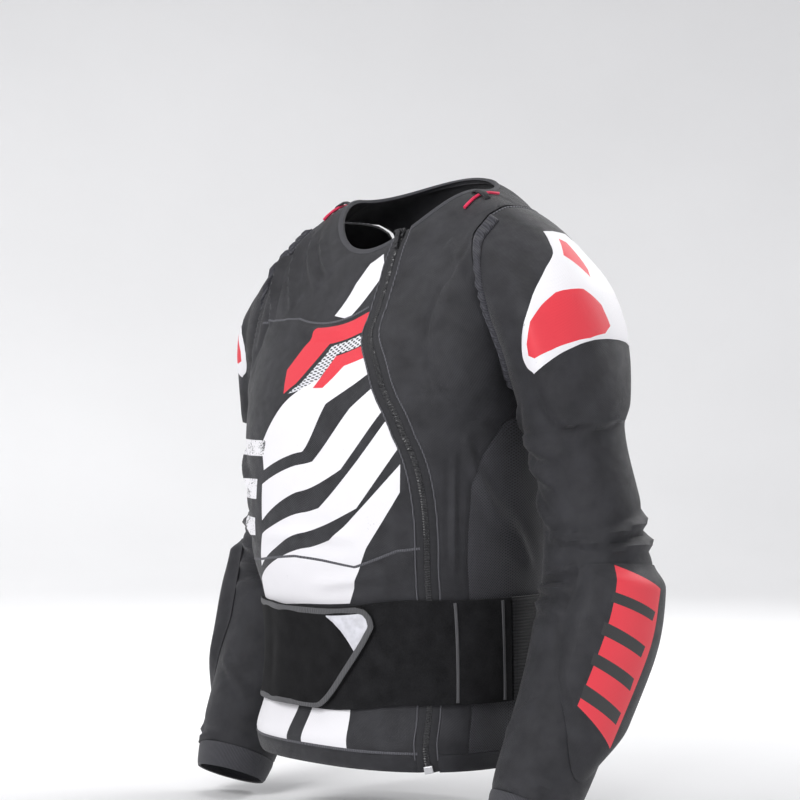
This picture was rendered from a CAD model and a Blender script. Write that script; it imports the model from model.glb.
"""A stretch protection jacket in worn form, with raised pads, a front zip and a wide waist belt.

The cloth is cut as flat patterns, laid on the body's and the sleeves' forms and dressed with woven,
printed and brushed finishes. Metres, +Z up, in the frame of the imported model: +X is the left of the
jacket as worn, -Y its front.
"""

from __future__ import annotations

import logging
import math
from collections.abc import Callable, Sequence
from dataclasses import dataclass, field
from enum import Enum

import bmesh
import bpy
import numpy as np
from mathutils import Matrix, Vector
from mathutils.kdtree import KDTree

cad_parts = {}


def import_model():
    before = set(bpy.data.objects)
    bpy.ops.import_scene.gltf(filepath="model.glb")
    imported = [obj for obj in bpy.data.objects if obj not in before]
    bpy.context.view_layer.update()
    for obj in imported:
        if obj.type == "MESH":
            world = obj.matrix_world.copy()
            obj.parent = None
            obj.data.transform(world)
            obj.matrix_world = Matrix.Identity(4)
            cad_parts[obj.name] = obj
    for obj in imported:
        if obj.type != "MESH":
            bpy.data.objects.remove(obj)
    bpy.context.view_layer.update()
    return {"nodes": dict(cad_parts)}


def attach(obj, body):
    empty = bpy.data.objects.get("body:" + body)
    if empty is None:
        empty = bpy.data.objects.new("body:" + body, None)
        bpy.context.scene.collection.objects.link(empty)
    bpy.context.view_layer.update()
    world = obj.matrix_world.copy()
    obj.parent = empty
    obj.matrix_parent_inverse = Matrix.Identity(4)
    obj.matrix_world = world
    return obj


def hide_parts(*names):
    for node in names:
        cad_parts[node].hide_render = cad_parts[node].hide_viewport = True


LOG = logging.getLogger("jacket")
Array = np.ndarray
Place = tuple[float, float]
Surface = Callable[[Array, Array, Array], Array]
Colour = tuple[float, float, float]
Look = bpy.types.Material
Piece = bpy.types.Object
Socket = bpy.types.NodeSocket

BODY = "jacket"
CLOTH_WALL = 0.0022
CELL = 0.0045

# Body levels: width, front, back, fall at the front, side and back, and squareness
LEVELS = np.array((
    (0.00, 0.00, 0.00, 0.000, 0.000, 0.000, 2.0),
    (0.30, 0.16, 0.43, 0.040, 0.013, 0.021, 2.0),
    (0.62, 0.28, 0.71, 0.090, 0.034, 0.062, 2.0),
    (0.92, 0.44, 0.91, 0.146, 0.067, 0.118, 2.1),
    (1.05, 0.64, 1.00, 0.203, 0.134, 0.191, 2.2),
    (1.05, 0.81, 1.03, 0.250, 0.227, 0.288, 2.3),
    (1.03, 0.93, 1.04, 0.291, 0.328, 0.361, 2.5),
    (1.00, 0.99, 1.02, 0.334, 0.387, 0.417, 2.6),
    (0.99, 1.00, 1.00, 0.400, 0.462, 0.482, 2.7),
    (0.96, 0.99, 0.98, 0.503, 0.555, 0.571, 2.7),
    (0.91, 0.94, 0.94, 0.606, 0.647, 0.660, 2.6),
    (0.84, 0.79, 0.91, 0.700, 0.731, 0.741, 2.5),
    (0.83, 0.74, 0.91, 0.794, 0.815, 0.822, 2.5),
    (0.86, 0.78, 0.94, 0.887, 0.899, 0.903, 2.5),
    (0.90, 0.91, 0.97, 0.953, 0.958, 0.960, 2.5),
    (0.87, 0.85, 0.97, 1.000, 1.000, 1.000, 2.5),
))
# Zip line: level, and how far it stands to the left as a share of the level's half width
ZIP_LINE = np.array((
    (0.0, 0.52), (1.8, 0.39), (3.1, 0.34), (3.8, 0.35), (5.0, 0.48), (6.1, 0.60),
    (7.6, 0.74), (8.5, 0.82), (9.5, 0.845), (11.0, 0.825), (12.8, 0.815), (15.0, 0.83),
))
# Pads under the body cloth: turn, level, half turn, half level, height
BULGES = (
    (66.0, 4.9, 20.0, 2.3, 0.0055),
    (-66.0, 4.9, 20.0, 2.3, 0.0055),
    (180.0, 6.6, 36.0, 4.6, 0.0050),
)
# Edges of the front panel: level and turn
ARMHOLE_EDGE = np.array((
    (1.90, 97.0), (1.98, 84.0), (2.15, 73.0), (2.60, 63.0), (3.20, 61.0), (4.00, 63.5),
    (4.60, 68.5), (5.15, 75.5), (5.60, 82.0), (6.00, 87.5), (6.45, 92.5), (6.90, 97.0),
))
SIDE_EDGE = np.array(((6.90, 97.0), (7.30, 88.0), (8.50, 75.0), (11.0, 72.0), (15.0, 72.0)))
# Levels where the armhole's edge runs nearly level, so the rows lie closer together
CLOSE_LEVELS = (1.92, 1.95, 1.98, 2.03, 2.09, 2.15, 2.25)
# Sleeve rings: place from the upper arm by the elbow to the wrist, width and depth
RINGS = np.array((
    (0.00, 0.44, 1.06), (0.32, 0.44, 0.74), (0.65, 0.72, 0.80), (0.82, 0.94, 0.96),
    (1.00, 1.00, 1.06), (1.16, 1.04, 1.08), (1.36, 0.78, 0.83), (1.51, 0.61, 0.67),
    (1.67, 0.50, 0.56), (1.77, 0.39, 0.44), (1.89, 0.17, 0.22), (2.00, 0.00, 0.00),
))


def spline(rows: Array, place: Array) -> Array:
    """Reads a smooth curve through the rows of a table.

    Args:
        rows: The table.
        place: Places counted in rows.

    Returns:
        One row for each place.
    """
    last = len(rows) - 1
    index = np.clip(place.astype(int), 0, last - 1)
    share = (place - index)[:, None]
    before, start, end, after = (rows[np.clip(index + step, 0, last)] for step in (-1, 0, 1, 2))
    return 0.5 * (
        2 * start
        + (end - before) * share
        + (2 * before - 5 * start + 4 * end - after) * share**2
        + (3 * start - before - 3 * end + after) * share**3
    )


def spline_at(rows: Array, key: Array) -> Array:
    """Reads the curve where its first column, which only rises, has these values.

    Args:
        rows: The table.
        key: Values of the first column.

    Returns:
        One row for each value.
    """
    index = np.clip(np.searchsorted(rows[:, 0], key, side="right") - 1, 0, len(rows) - 2)
    share = (key - rows[index, 0]) / (rows[index + 1, 0] - rows[index, 0])
    return spline(rows, index + share)


def smooth_step(value: Array) -> Array:
    """Goes smoothly from 0 below 0 to 1 above 1."""
    value = np.clip(value, 0.0, 1.0)
    return value * value * (3 - 2 * value)


def unit(vectors: Array) -> Array:
    """Scales each row to length 1."""
    return vectors / np.linalg.norm(vectors, axis=-1, keepdims=True)


@dataclass(frozen=True)
class Chart:
    """Lays a surface's turns and levels out flat, in metres, and finds them again."""

    across: float
    levels: Array
    lengths: Array

    def flat(self, turn: Array, level: Array) -> Array:
        """The flat places of turns and levels."""
        return np.column_stack((np.asarray(turn) * self.across, np.interp(level, self.levels, self.lengths)))

    def places(self, flat: Array) -> tuple[Array, Array]:
        """The turns and levels of flat places."""
        return flat[:, 0] / self.across, np.interp(flat[:, 1], self.lengths, self.levels)


@dataclass(frozen=True)
class Crease:
    """A fold in the cloth, from one turn and level to another."""

    start: Place
    end: Place
    half_width: float
    height: float

    def relief(self, chart: Chart, flat: Array) -> Array:
        """How far the fold raises flat places.

        Args:
            chart: The flat chart.
            flat: Flat places.

        Returns:
            A rise for each place, in metres.
        """
        start, end = chart.flat([self.start[0], self.end[0]], [self.start[1], self.end[1]])
        span = end - start
        along = np.clip((flat - start) @ span / (span @ span), 0, 1)
        away = np.linalg.norm(flat - start - along[:, None] * span, axis=1) / self.half_width
        taper = np.sqrt(4 * along * (1 - along))
        return self.height * taper * (np.exp(-away**2) - 0.45 * np.exp(-((away - 1.7) ** 2)))


@dataclass(frozen=True)
class BodyForm:
    """The outer face of the body cloth. Turn 0 is the front and 90 the left side."""

    neck: Place = (0.088, 0.168)
    front: Place = (0.089, 0.178)
    back: Place = (0.065, 0.100)
    neck_z: tuple[float, float, float] = (-0.057, 0.005, 0.028)
    hem_z: float = -0.590
    side_turn: float = 97.0
    armhole_top: float = 1.9
    armpit: float = 6.9

    def shape(self, level: Array, turn: Array) -> Array:
        """The outline before the pads are raised.

        Args:
            level: Levels down the body.
            turn: Degrees round the form.

        Returns:
            Points, a row for each place.
        """
        row = spline(LEVELS, level)
        half = self.neck[0] + (self.neck[1] - self.neck[0]) * row[:, 0]
        front = self.front[0] + (self.front[1] - self.front[0]) * row[:, 1]
        back = self.back[0] + (self.back[1] - self.back[0]) * row[:, 2]
        sine, cosine = np.sin(np.radians(turn)), np.cos(np.radians(turn))
        front_z, side_z, back_z = (
            start + (self.hem_z - start) * fall for start, fall in zip(self.neck_z, row[:, 3:6].T)
        )
        power = 2 / row[:, 6]
        end_z = np.where(cosine > 0, front_z, back_z)
        return np.column_stack((
            half * np.copysign(np.abs(sine) ** power, sine),
            (back - front) / 2 - (back + front) / 2 * np.copysign(np.abs(cosine) ** power, cosine),
            side_z * sine**2 + end_z * cosine**2,
        ))

    def relief(self, level: Array, turn: Array) -> Array:
        """How far the pads under the cloth raise it.

        Args:
            level: Levels down the body.
            turn: Degrees round the form.

        Returns:
            A rise for each place, in metres.
        """
        height = np.zeros(len(level))
        for middle, middle_level, half_turn, half_level, rise in BULGES:
            swing = (turn - middle + 180) % 360 - 180
            reach = np.hypot(swing / half_turn, (level - middle_level) / half_level)
            height += rise * smooth_step((1.15 - reach) / 0.45)
        return height

    def normal(self, level: Array, turn: Array) -> Array:
        """The outward directions.

        Args:
            level: Levels down the body.
            turn: Degrees round the form.

        Returns:
            Unit vectors, a row for each place.
        """
        along = self.shape(level + 0.02, turn) - self.shape(level - 0.02, turn)
        across = self.shape(level, turn + 0.5) - self.shape(level, turn - 0.5)
        return unit(np.cross(along, across))

    def point(self, turn: Array, level: Array, lift: Array | float = 0.0) -> Array:
        """Points of the cloth's outer face, or lifted off it.

        Args:
            turn: Degrees round the form.
            level: Levels down the body.
            lift: How far off the outer face.

        Returns:
            Points, a row for each place.
        """
        turn, level = np.broadcast_arrays(np.asarray(turn, float), np.asarray(level, float))
        rise = self.relief(level, turn) + lift
        return self.shape(level, turn) + self.normal(level, turn) * rise[:, None]

    def beside(self, level: Array, turn: Array, distance: Array | float) -> Array:
        """The turns that lie a distance round from others on the same levels.

        Args:
            level: Levels down the body.
            turn: Degrees round the form.
            distance: How far, in metres.

        Returns:
            The turns.
        """
        step = 0.5
        span = np.linalg.norm(self.shape(level, turn + step) - self.shape(level, turn - step), axis=1)
        return turn + distance * 2 * step / span

    def level_at(self, turn: Array, z: float | Array) -> Array:
        """The levels where the outline passes a height.

        Args:
            turn: Degrees round the form.
            z: The height.

        Returns:
            The levels.
        """
        low, high = np.zeros(len(turn)), np.full(len(turn), len(LEVELS) - 1.0)
        for _ in range(26):
            middle = (low + high) / 2
            above = self.shape(middle, turn)[:, 2] > z
            low, high = np.where(above, middle, low), np.where(above, high, middle)
        return low

    def zip_turn(self, level: Array) -> Array:
        """The turns of the zip's middle line."""
        across = spline_at(ZIP_LINE, level)[:, 1]
        return np.degrees(np.arcsin(across ** (spline(LEVELS, level)[:, 6] / 2)))

    def beside_zip(self, level: Array, distance: float) -> Array:
        """The turns that lie a distance to the left of the zip's middle line."""
        return self.beside(level, self.zip_turn(level), distance)

    def front_edge(self, level: Array) -> Array:
        """The turns of the front panel's outer edge.

        Args:
            level: Levels down the body.

        Returns:
            The turns.
        """
        armhole = spline_at(ARMHOLE_EDGE, level)[:, 1]
        side = spline_at(SIDE_EDGE, level)[:, 1]
        below = np.where(level < self.armpit, armhole, side)
        return np.where(level <= self.armhole_top, self.side_turn, below)

    def chart(self) -> Chart:
        """The flat chart, measured on the front.

        Returns:
            The chart.
        """
        levels = np.linspace(0, len(LEVELS) - 1, 151)
        line = self.shape(levels, np.full(151, 45.0))
        lengths = np.concatenate(([0.0], np.cumsum(np.linalg.norm(np.diff(line, axis=0), axis=1))))
        return Chart(0.0027, levels, lengths)


@dataclass
class SleeveForm:
    """The outer face of the left sleeve. Turn 0 is the outside of the arm and 90 its front."""

    body: BodyForm
    upper: tuple[float, float, float] = (0.217, -0.001, -0.245)
    elbow: tuple[float, float, float] = (0.241, 0.005, -0.416)
    wrist: tuple[float, float, float] = (0.229, -0.087, -0.637)
    arm: float = 0.056
    cuff: float = 0.038
    slopes: Place = (24.0, 70.0)
    fullness: float = 1.24
    forward: float = 0.12
    seam_gap: float = 0.0004
    armhole: Array = field(init=False)

    def __post_init__(self) -> None:
        """Traces the armhole's edge as rows of turn and place, with two more rows at each end."""
        even = np.linspace(self.body.armhole_top, self.body.armpit, 48)
        levels = np.unique(np.concatenate((even, CLOSE_LEVELS)))
        edge = self.body.front_edge(levels)
        top, pit = self.body.point(np.full(2, self.body.side_turn), np.array([levels[0], levels[-1]]))
        points = np.concatenate((
            self.body.point(edge, levels),
            self.body.point(2 * self.body.side_turn - edge[1:-1], levels[1:-1]),
        ))
        offset = points - (top + pit) / 2
        turns = np.degrees(np.arctan2(-offset[:, 1], offset @ unit(top - pit)))
        rows = np.column_stack((turns, points))[np.argsort(turns)]
        before, after = rows[-2:].copy(), rows[:2].copy()
        before[:, 0] -= 360
        after[:, 0] += 360
        self.armhole = np.concatenate((before, rows, after))

    def armhole_point(self, turn: Array) -> Array:
        """Points of the armhole's edge."""
        return spline_at(self.armhole, (turn + 180) % 360 - 180)[:, 1:]

    def centre(self, along: Array) -> Array:
        """Points of the arm's middle line."""
        return spline(np.array((self.upper, self.elbow, self.wrist)), along)

    def ring(self, place: Array, turn: Array) -> Array:
        """Points of the sleeve's rings below the cap.

        Args:
            place: Rings, from 0 at the first.
            turn: Degrees round the form.

        Returns:
            Points, a row for each place.
        """
        row = spline(RINGS, place)
        axis = unit(self.centre(row[:, 0] + 0.02) - self.centre(row[:, 0] - 0.02))
        front = unit(np.cross(axis, (1.0, 0.0, 0.0)))
        front = np.where(front[:, 1:2] > 0, -front, front)
        outward = unit(np.cross(axis, front))
        outward = np.where(outward[:, :1] < 0, -outward, outward)
        width, depth = (self.cuff + (self.arm - self.cuff) * row[:, column] for column in (1, 2))
        angle = np.radians(turn)
        reach = outward * (width * np.cos(angle))[:, None] + front * (depth * np.sin(angle))[:, None]
        return self.centre(row[:, 0]) + reach

    def shape(self, turn: Array, station: Array) -> Array:
        """The outline before folds and pads, with stations 0 to 1 on the cap and one for each ring.

        Args:
            turn: Degrees round the form.
            station: Stations down the sleeve.

        Returns:
            Points, a row for each place.
        """
        zero = np.zeros(len(turn))
        end = self.ring(zero, turn)
        down = unit(self.ring(zero + 0.1, turn) - end)
        facing = np.cos(np.radians(turn))
        slope = np.radians(self.slopes[0] + (self.slopes[1] - self.slopes[0]) * (1 - facing) / 2)
        out = unit(np.column_stack((np.cos(slope), -self.forward * np.sin(np.radians(turn)), -np.sin(slope))))
        start = self.armhole_point(turn) + out * self.seam_gap
        pull = (self.fullness * np.linalg.norm(end - start, axis=1))[:, None]
        s = np.clip(station, 0.0, 1.0)[:, None]
        cap = (
            (2 * s**3 - 3 * s**2 + 1) * start
            + (s**3 - 2 * s**2 + s) * pull * out
            + (3 * s**2 - 2 * s**3) * end
            + (s**3 - s**2) * pull * down
        )
        return np.where(station[:, None] >= 1, self.ring(np.maximum(station - 1, 0), turn), cap)

    def point(self, turn: Array, station: Array, lift: Array | float = 0.0) -> Array:
        """Points of the outer face, or lifted off it.

        Args:
            turn: Degrees round the form.
            station: Stations down the sleeve.
            lift: How far off the outer face.

        Returns:
            Points, a row for each place.
        """
        turn, station = np.broadcast_arrays(np.asarray(turn, float), np.asarray(station, float))
        station = np.maximum(station, 0.01)
        round_arm = self.shape(turn + 1, station) - self.shape(turn - 1, station)
        down = self.shape(turn, station + 0.02) - self.shape(turn, station - 0.01)
        lift = np.broadcast_to(lift, turn.shape)
        return self.shape(turn, station) + unit(np.cross(round_arm, down)) * lift[:, None]

    def chart(self) -> Chart:
        """The flat chart, measured along the outside of the arm.

        Returns:
            The chart.
        """
        stations = np.linspace(0.01, len(RINGS), 240)
        line = self.shape(np.zeros(240), stations)
        lengths = np.concatenate(([0.0], np.cumsum(np.linalg.norm(np.diff(line, axis=0), axis=1))))
        return Chart(0.00092, stations, lengths)

    def station_above_wrist(self, distance: float) -> float:
        """The station this far above the sleeve's foot."""
        chart = self.chart()
        return float(np.interp(chart.lengths[-1] - distance, chart.lengths, chart.levels))


class Pattern:
    """A flat cutting pattern on a chart, with a finish for each of its faces."""

    def __init__(self, chart: Chart, turn: Array, level: Array) -> None:
        """Makes a grid of faces.

        Args:
            chart: The surface's chart.
            turn: Turns of the grid's corners, one row of the table for each row of the grid.
            level: Levels of the grid's corners, in the same order.
        """
        self.chart = chart
        self.mesh = bmesh.new()
        rows, columns = turn.shape
        flat = chart.flat(turn.ravel(), level.ravel())
        verts = [self.mesh.verts.new((x, y, 0)) for x, y in flat]
        for row in range(rows - 1):
            for column in range(columns - 1):
                first = row * columns + column
                corners = (first, first + 1, first + columns + 1, first + columns)
                self.mesh.faces.new([verts[corner] for corner in corners])

    def outline(self, places: Sequence[Place]) -> Array:
        """An outline of turns and levels, laid flat."""
        turn, level = zip(*places)
        return self.chart.flat(np.array(turn), np.array(level))

    def cut(self, places: Sequence[Place], slot: int) -> None:
        """Cuts the faces along a closed outline and gives those inside it a finish.

        Args:
            places: Turns and levels of the outline's corners.
            slot: The finish's place in the piece's list.
        """
        outline = self.outline(places)
        margin = 2.5 * CELL
        for start, end in zip(outline, np.roll(outline, -1, axis=0)):
            low, high = np.minimum(start, end) - margin, np.maximum(start, end) + margin
            side = np.array((start[1] - end[1], end[0] - start[0]))
            if np.linalg.norm(side) < 1e-6:
                continue
            side = side / np.linalg.norm(side)
            near = []
            for face in self.mesh.faces:
                middle = face.calc_center_median()
                if low[0] < middle.x < high[0] and low[1] < middle.y < high[1]:
                    if abs((middle.x - start[0]) * side[0] + (middle.y - start[1]) * side[1]) < margin:
                        near.append(face)
            parts = set(near)
            parts.update(edge for face in near for edge in face.edges)
            parts.update(vert for face in near for vert in face.verts)
            bmesh.ops.bisect_plane(self.mesh, geom=list(parts), dist=1e-6, plane_co=(*start, 0),
                                   plane_no=(*side, 0))
        for face in self.mesh.faces:
            if inside(outline, *face.calc_center_median().xy):
                face.material_index = slot


def inside(outline: Array, x: float, y: float) -> bool:
    """Whether a flat place is inside a closed outline.

    Args:
        outline: Its corners.
        x: The place's first measure.
        y: The place's second measure.

    Returns:
        True inside.
    """
    start, end = outline, np.roll(outline, -1, axis=0)
    crosses = (start[:, 1] > y) != (end[:, 1] > y)
    rise = np.where(crosses, end[:, 1] - start[:, 1], 1.0)
    reach = start[:, 0] + (y - start[:, 1]) / rise * (end[:, 0] - start[:, 0])
    return bool(np.sum(crosses & (x < reach)) % 2)


def finished(name: str, mesh: bmesh.types.BMesh, looks: Sequence[Look], sharp: float = 50.0) -> Piece:
    """Turns a mesh into a piece that rides on the jacket.

    Args:
        name: The piece's name.
        mesh: Its mesh, which is used up.
        looks: Its finishes.
        sharp: Edges that turn more than this many degrees stay sharp.

    Returns:
        The piece.
    """
    data = bpy.data.meshes.new(name)
    mesh.to_mesh(data)
    mesh.free()
    for look in looks:
        data.materials.append(look)
    data.shade_smooth()
    data.set_sharp_from_angle(angle=math.radians(sharp))
    piece = bpy.data.objects.new(name, data)
    bpy.context.scene.collection.objects.link(piece)
    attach(piece, BODY)
    LOG.info("%s: %d faces", name, len(data.polygons))
    return piece


NARROWEST_SHEET = 0.010


def declare(length: float) -> None:
    """Declares a closed sheet, with half of its surface as its flat area.

    Args:
        length: How long its flat cloth is.
    """
    if length < NARROWEST_SHEET:
        return


@dataclass
class Sewing:
    """Lays patterns on a surface as closed sheets of cloth."""

    surface: Surface
    chart: Chart
    wall: float = CLOTH_WALL

    def edge_distance(self, mesh: bmesh.types.BMesh, flat: Array, tube: bool) -> Array:
        """How far flat places are from the pattern's open edge.

        Args:
            mesh: The pattern's mesh.
            flat: Flat places.
            tube: Whether its first and last columns meet.

        Returns:
            A distance for each place.
        """
        edge = [vert.co for vert in mesh.verts if vert.is_boundary]
        if tube:
            ends = flat[:, 1].min(), flat[:, 1].max()
            edge = [co for co in edge if min(abs(co.y - end) for end in ends) < 1e-5]
        tree = KDTree(len(edge))
        for index, co in enumerate(edge):
            tree.insert(co, index)
        tree.balance()
        return np.array([tree.find((x, y, 0))[2] for x, y in flat])

    def lay(
        self,
        name: str,
        pattern: Pattern,
        looks: Sequence[Look],
        lift: float = 0.0,
        relief: Callable[[Array, Array], Array] | None = None,
        edge_dip: Place = (0.0, 0.004),
        side: int = 1,
        tube: bool = False,
        sharp: float = 50.0,
        wall: float | None = None,
        base: float | None = None,
    ) -> Piece:
        """Makes one closed sheet.

        Args:
            name: The piece's name.
            pattern: The flat pattern, which is used up.
            looks: The finishes that its faces name.
            lift: How far the outer face is off the surface.
            relief: Raises turns and levels further.
            edge_dip: How deep the sheet dips at its edges and how far in.
            side: -1 mirrors it to the right.
            tube: Whether its first and last columns meet.
            sharp: Edges that turn more than this many degrees stay sharp.
            wall: Its thickness, where it isn't the cloth's.
            base: A fixed lift for the inner face, as under a pad.

        Returns:
            The piece.
        """
        flat_mesh = pattern.mesh
        flat = np.array([vert.co.xy for vert in flat_mesh.verts])
        turn, level = self.chart.places(flat)
        rise = np.full(len(flat), lift)
        if relief:
            rise = rise + relief(turn, level)
        if edge_dip[0]:
            away = self.edge_distance(flat_mesh, flat, tube)
            rise = rise - edge_dip[0] * np.exp(-((away / edge_dip[1]) ** 2))
        wall = self.wall if wall is None else wall
        outer = self.surface(turn, level, rise)
        inner = self.surface(turn, level, rise - wall if base is None else np.full(len(flat), base))
        mirror = np.array((side, 1, 1))
        made = bmesh.new()
        places = made.loops.layers.uv.new("UVMap")
        rows = [[made.verts.new(place) for place in points * mirror] for points in (inner, outer)]
        flat_mesh.faces.ensure_lookup_table()
        flat_mesh.verts.index_update()
        first = [vert.index for vert in flat_mesh.faces[0].verts][:3]
        a, b, c = (outer[index] for index in first)
        upward = np.cross(b - a, c - a) @ (outer[first[0]] - inner[first[0]]) > 0
        flip = upward == (side < 0)
        for face in flat_mesh.faces:
            corners = [vert.index for vert in face.verts]
            for raised, reverse in ((1, flip), (0, not flip)):
                order = corners[::-1] if reverse else corners
                new = made.faces.new([rows[raised][corner] for corner in order])
                new.material_index = face.material_index if raised else 0
                for loop, corner in zip(new.loops, order):
                    loop[places].uv = flat[corner]
        for edge in flat_mesh.edges:
            if len(edge.link_loops) != 1:
                continue
            loop = edge.link_loops[0]
            start, end = loop.vert.index, loop.link_loop_next.vert.index
            if tube and abs(flat[start][0] - flat[end][0]) < 1e-7:
                continue
            order = [(1, end), (1, start), (0, start), (0, end)][:: -1 if flip else 1]
            new = made.faces.new([rows[raised][corner] for raised, corner in order])
            new.material_index = loop.face.material_index
            for corner_loop, (_, corner) in zip(new.loops, order):
                corner_loop[places].uv = flat[corner]
        flat_mesh.free()
        if tube:
            bmesh.ops.remove_doubles(made, verts=made.verts[:], dist=1e-6)
        return finished(name, made, looks, sharp)


def grid(
    chart: Chart,
    start: Callable[[Array], Array],
    end: Callable[[Array], Array],
    levels: Array,
    columns: int,
    top: Callable[[Array], Array] | None = None,
    foot: Callable[[Array], Array] | None = None,
) -> Pattern:
    """A pattern between two edges.

    Args:
        chart: The surface's chart.
        start: Turns of its first edge at levels.
        end: Turns of its last edge at levels.
        levels: Levels of its rows.
        columns: How many faces lie side by side.
        top: Cuts the levels from above at turns.
        foot: Cuts them from below.

    Returns:
        The pattern.
    """
    shares = np.tile(np.linspace(0, 1, columns + 1), len(levels))
    wanted = np.repeat(levels, columns + 1).astype(float)
    level = wanted.copy()
    turn = wanted
    for _ in range(3):
        turn = start(level) * (1 - shares) + end(level) * shares
        if top:
            level = np.maximum(wanted, top(turn))
        if foot:
            level = np.minimum(level if top else wanted, foot(turn))
    size = (len(levels), columns + 1)
    return Pattern(chart, turn.reshape(size), level.reshape(size))


class Graph:
    """A material's nodes, with short calls for those that the finishes use."""

    def __init__(self, name: str, colour: Colour, roughness: float, **sockets: float) -> None:
        """Starts a material.

        Args:
            name: Its name.
            colour: Its base colour.
            roughness: Its roughness.
            sockets: Other values on the shader, with underscores for spaces.
        """
        self.look = bpy.data.materials.new(name)
        self.look.use_nodes = True
        self.tree = self.look.node_tree
        self.shader = self.tree.nodes["Principled BSDF"]
        self.shader.inputs["Base Color"].default_value = (*colour, 1)
        self.shader.inputs["Roughness"].default_value = roughness
        for socket, value in sockets.items():
            self.shader.inputs[socket.replace("_", " ")].default_value = value
        self.look.diffuse_color = (*colour, 1)
        self.uv = self.node("ShaderNodeTexCoord").outputs["UV"]
        self.place = self.node("ShaderNodeTexCoord").outputs["Object"]

    def node(self, kind: str, **settings: object) -> bpy.types.Node:
        """Adds a node with these settings.

        Args:
            kind: The node's type.
            settings: Its settings.

        Returns:
            The node.
        """
        made = self.tree.nodes.new(kind)
        for setting, value in settings.items():
            setattr(made, setting, value)
        return made

    def feed(self, socket: bpy.types.NodeSocket, value: object) -> None:
        """Links a socket to another one, or sets its value.

        Args:
            socket: The socket.
            value: A socket or a plain value.
        """
        if isinstance(value, bpy.types.NodeSocket):
            self.tree.links.new(value, socket)
        else:
            socket.default_value = value

    def math(self, operation: str, *values: object) -> Socket:
        """A sum or other operation on values.

        Args:
            operation: Its name in Blender.
            values: What it works on.

        Returns:
            Its result.
        """
        made = self.node("ShaderNodeMath", operation=operation)
        for socket, value in zip(made.inputs, values):
            self.feed(socket, value)
        return made.outputs[0]

    def noise(self, scale: float, detail: float = 3.0, vector: object = None) -> Socket:
        """Soft noise, in object space unless another one is given.

        Args:
            scale: Its scale.
            detail: Its detail.
            vector: Where it is read.

        Returns:
            The noise, from 0 to 1.
        """
        made = self.node("ShaderNodeTexNoise")
        self.feed(made.inputs["Vector"], vector or self.place)
        self.feed(made.inputs["Scale"], scale)
        self.feed(made.inputs["Detail"], detail)
        return made.outputs[0]

    def spread(self, value: object, low: float, high: float, out_low: float, out_high: float) -> Socket:
        """Maps one range of a value to another, and holds it at the ends.

        Args:
            value: A socket or a plain value.
            low: The lower end.
            high: The upper end.
            out_low: What the lower end becomes.
            out_high: What the upper end becomes.

        Returns:
            The mapped value.
        """
        made = self.node("ShaderNodeMapRange")
        for socket, given in zip(made.inputs, (value, low, high, out_low, out_high)):
            self.feed(socket, given)
        return made.outputs[0]

    def blend(self, factor: object, first: object, second: object) -> Socket:
        """Mixes two colours.

        Args:
            factor: How much of the second.
            first: The first colour.
            second: The second colour.

        Returns:
            The mixed colour.
        """
        made = self.node("ShaderNodeMix", data_type="RGBA")
        for socket, value in zip((made.inputs[0], made.inputs[6], made.inputs[7]), (factor, first, second)):
            self.feed(socket, (*value, 1) if isinstance(value, tuple) else value)
        return made.outputs[2]

    def waves(self, pitch: float, axis: int, offset: object = 0.0) -> Socket:
        """Ribs that run across one axis of the cloth, from -1 to 1.

        Args:
            pitch: The pattern's step.
            axis: 0 or 1 for the cloth's own axes.
            offset: Shifts them.

        Returns:
            The ribs' height.
        """
        parts = self.node("ShaderNodeSeparateXYZ")
        self.feed(parts.inputs[0], self.uv)
        angle = self.math("MULTIPLY_ADD", parts.outputs[axis], 2 * math.pi / pitch, offset)
        return self.math("SINE", angle)

    def dots(self, pitch: float, angle: float = 45.0) -> Socket:
        """Distance from the nearest dot of a slanted square grid, from 0 to about 0.7.

        Args:
            pitch: The pattern's step.
            angle: The grid's slant in degrees.

        Returns:
            It, in steps of the grid.
        """
        turned = self.node("ShaderNodeMapping")
        self.feed(turned.inputs["Vector"], self.uv)
        turned.inputs["Rotation"].default_value = (0, 0, math.radians(angle))
        turned.inputs["Scale"].default_value = (1 / pitch, 1 / pitch, 1 / pitch)
        cells = self.node("ShaderNodeTexVoronoi")
        self.feed(cells.inputs["Vector"], turned.outputs[0])
        cells.inputs["Scale"].default_value = 1.0
        cells.inputs["Randomness"].default_value = 0.0
        return cells.outputs["Distance"]

    def bump(self, height: object, distance: float, strength: float = 1.0) -> None:
        """Sends a height to the shader's normal.

        Args:
            height: How high each place is.
            distance: How deep it reads, in metres.
            strength: How strongly it shows.
        """
        made = self.node("ShaderNodeBump")
        self.feed(made.inputs["Height"], height)
        self.feed(made.inputs["Distance"], distance)
        self.feed(made.inputs["Strength"], strength)
        self.tree.links.new(made.outputs[0], self.shader.inputs["Normal"])

    def colour(self, value: bpy.types.NodeSocket) -> None:
        """Sends a colour to the shader."""
        self.tree.links.new(value, self.shader.inputs["Base Color"])

    def rough(self, value: bpy.types.NodeSocket) -> None:
        """Sends a roughness to the shader."""
        self.tree.links.new(value, self.shader.inputs["Roughness"])


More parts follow.
